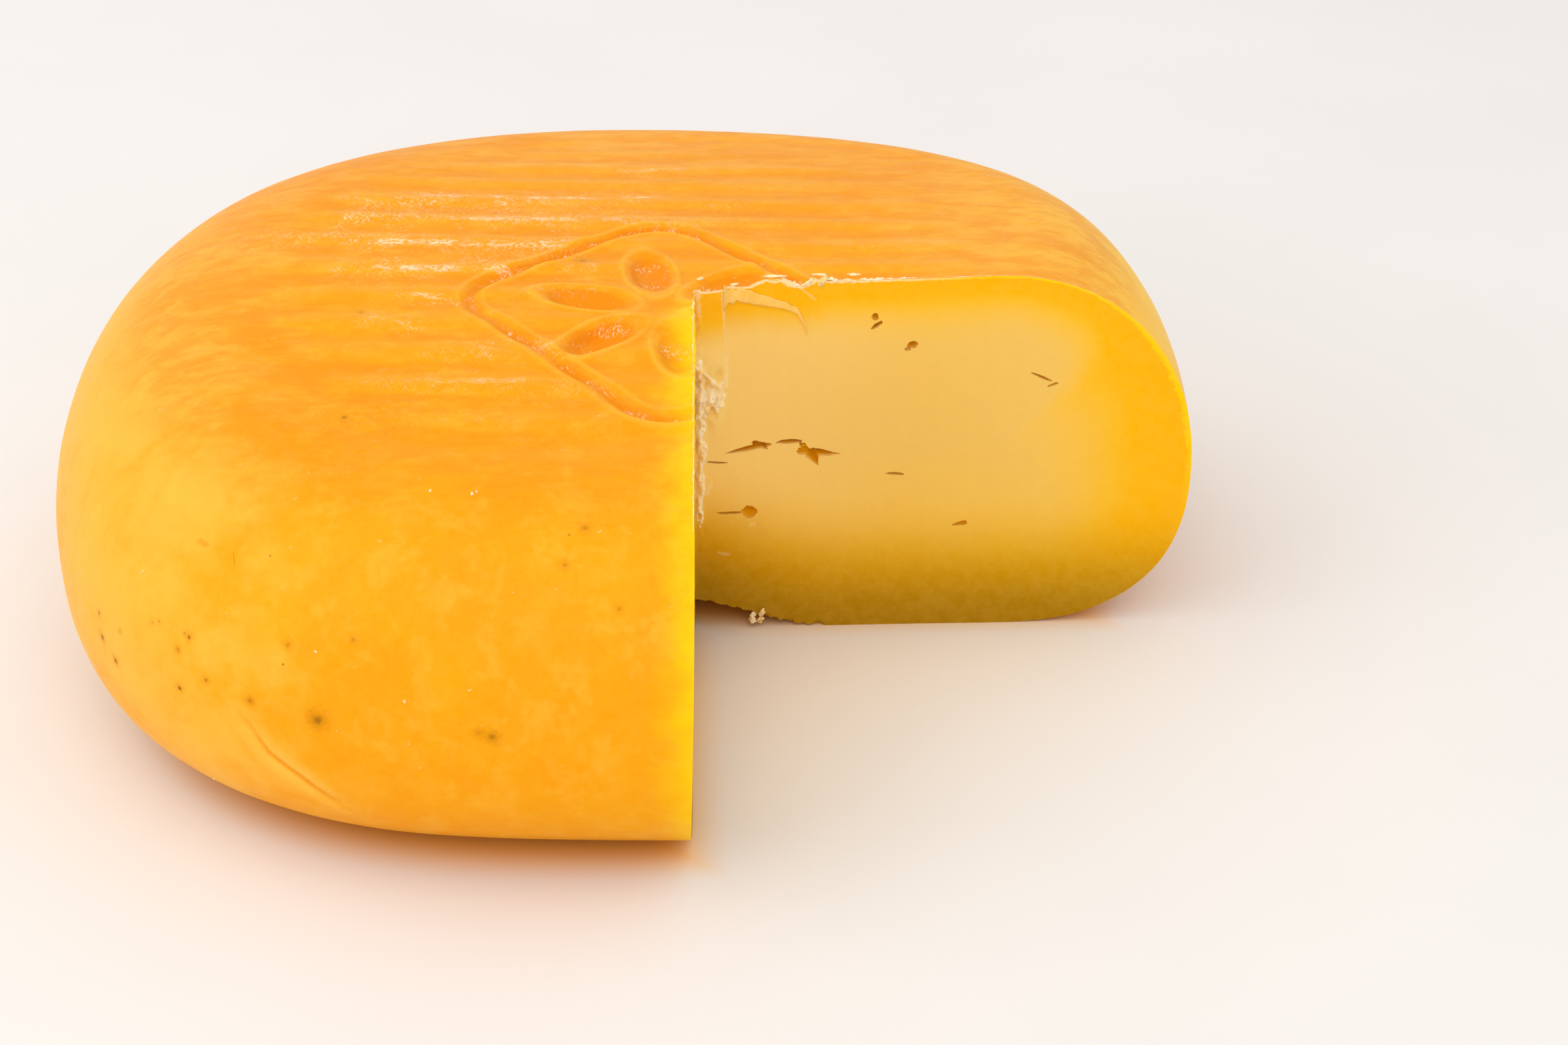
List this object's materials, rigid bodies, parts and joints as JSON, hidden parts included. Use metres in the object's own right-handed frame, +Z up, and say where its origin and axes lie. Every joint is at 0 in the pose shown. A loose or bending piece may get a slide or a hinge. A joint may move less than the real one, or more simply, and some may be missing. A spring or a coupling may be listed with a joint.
{
  "type": "cut cheese wheel",
  "caption": "Thick round cheese wheel with a smooth orange-yellow rind, a quarter cut out of it, and pale paste with small eyes and slits showing on both cuts.",
  "frame": {"origin": "middle of the footprint, on the surface that the wheel rests on", "axes": "+Z up through the wheel's thickness, and the missing quarter opens towards +X and -Y"},
  "size_m": [0.235, 0.2324, 0.0818],
  "materials": {
    "cheese": "satin, slightly greasy rind over soft translucent paste"
  },
  "bodies": {
    "root": {"cheese_wheel": "cheese"}
  },
  "joints": []
}
